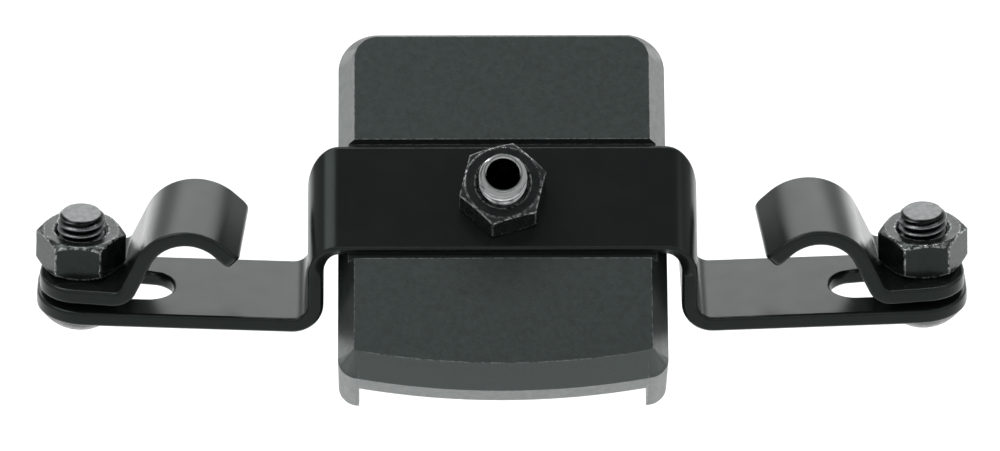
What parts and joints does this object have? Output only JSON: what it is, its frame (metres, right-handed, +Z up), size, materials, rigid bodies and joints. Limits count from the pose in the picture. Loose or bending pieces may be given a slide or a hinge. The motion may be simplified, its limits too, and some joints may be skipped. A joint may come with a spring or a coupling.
{
  "type": "saddle rail light mount",
  "caption": "Bent steel strap that clamps under the two rails of a bicycle saddle and carries a plastic adapter for a rear light on its tilted middle.",
  "frame": {"origin": "on the left rail's centre line, halfway along the left clamp's hook", "axes": "+X to the right across the saddle along the strap, +Y away from the side the nuts of the tilted middle face and along the rails, +Z up, square to the strap's wings"},
  "size_m": [0.0972, 0.0362, 0.0315],
  "materials": {
    "strap_coat": "satin",
    "clamp_coat": "satin",
    "adapter_plastic": "textured",
    "nut_black": "gloss",
    "bolt_steel": "dark plated",
    "stud_chrome": "bright"
  },
  "bodies": {
    "bracket": {"strap": "strap_coat", "adapter_housing": "adapter_plastic", "center_stud": "stud_chrome"},
    "center_nut": {"center_nut": "nut_black"},
    "left_bolt": {"left_bolt": "bolt_steel"},
    "left_clamp": {"left_clamp": "clamp_coat"},
    "left_nut": {"left_nut": "nut_black"},
    "right_bolt": {"right_bolt": "bolt_steel"},
    "right_clamp": {"right_clamp": "clamp_coat"},
    "right_nut": {"right_nut": "nut_black"}
  },
  "joints": [
    {"name": "center_nut_spin", "type": "hinge", "parent": "bracket", "child": "center_nut", "pos_m": [0.03158, -0.00209, 0.00869], "axis": [0, -0.6293, 0.7771], "continuous": true},
    {"name": "left_bolt_slide", "type": "slide", "parent": "bracket", "child": "left_bolt", "axis": [0.9993, 0, -0.0384], "range_m": [0, 0.0052]},
    {"name": "left_clamp_swing", "type": "hinge", "parent": "left_bolt", "child": "left_clamp", "pos_m": [-0.01151, 0.0008, -0.00201], "axis": [0.0384, 0, 0.9993], "range_deg": [-6, 14]},
    {"name": "left_nut_spin", "type": "hinge", "parent": "left_bolt", "child": "left_nut", "pos_m": [-0.01151, 0.0008, -0.00201], "axis": [0.0384, 0, 0.9993], "continuous": true},
    {"name": "right_bolt_slide", "type": "slide", "parent": "bracket", "child": "right_bolt", "axis": [-0.9993, 0, -0.0384], "range_m": [0, 0.0052]},
    {"name": "right_clamp_swing", "type": "hinge", "parent": "right_bolt", "child": "right_clamp", "pos_m": [0.07468, 0.0008, -0.00201], "axis": [-0.0384, 0, 0.9993], "range_deg": [-14, 6]},
    {"name": "right_nut_spin", "type": "hinge", "parent": "right_bolt", "child": "right_nut", "pos_m": [0.07468, 0.0008, -0.00201], "axis": [-0.0384, 0, 0.9993], "continuous": true}
  ]
}
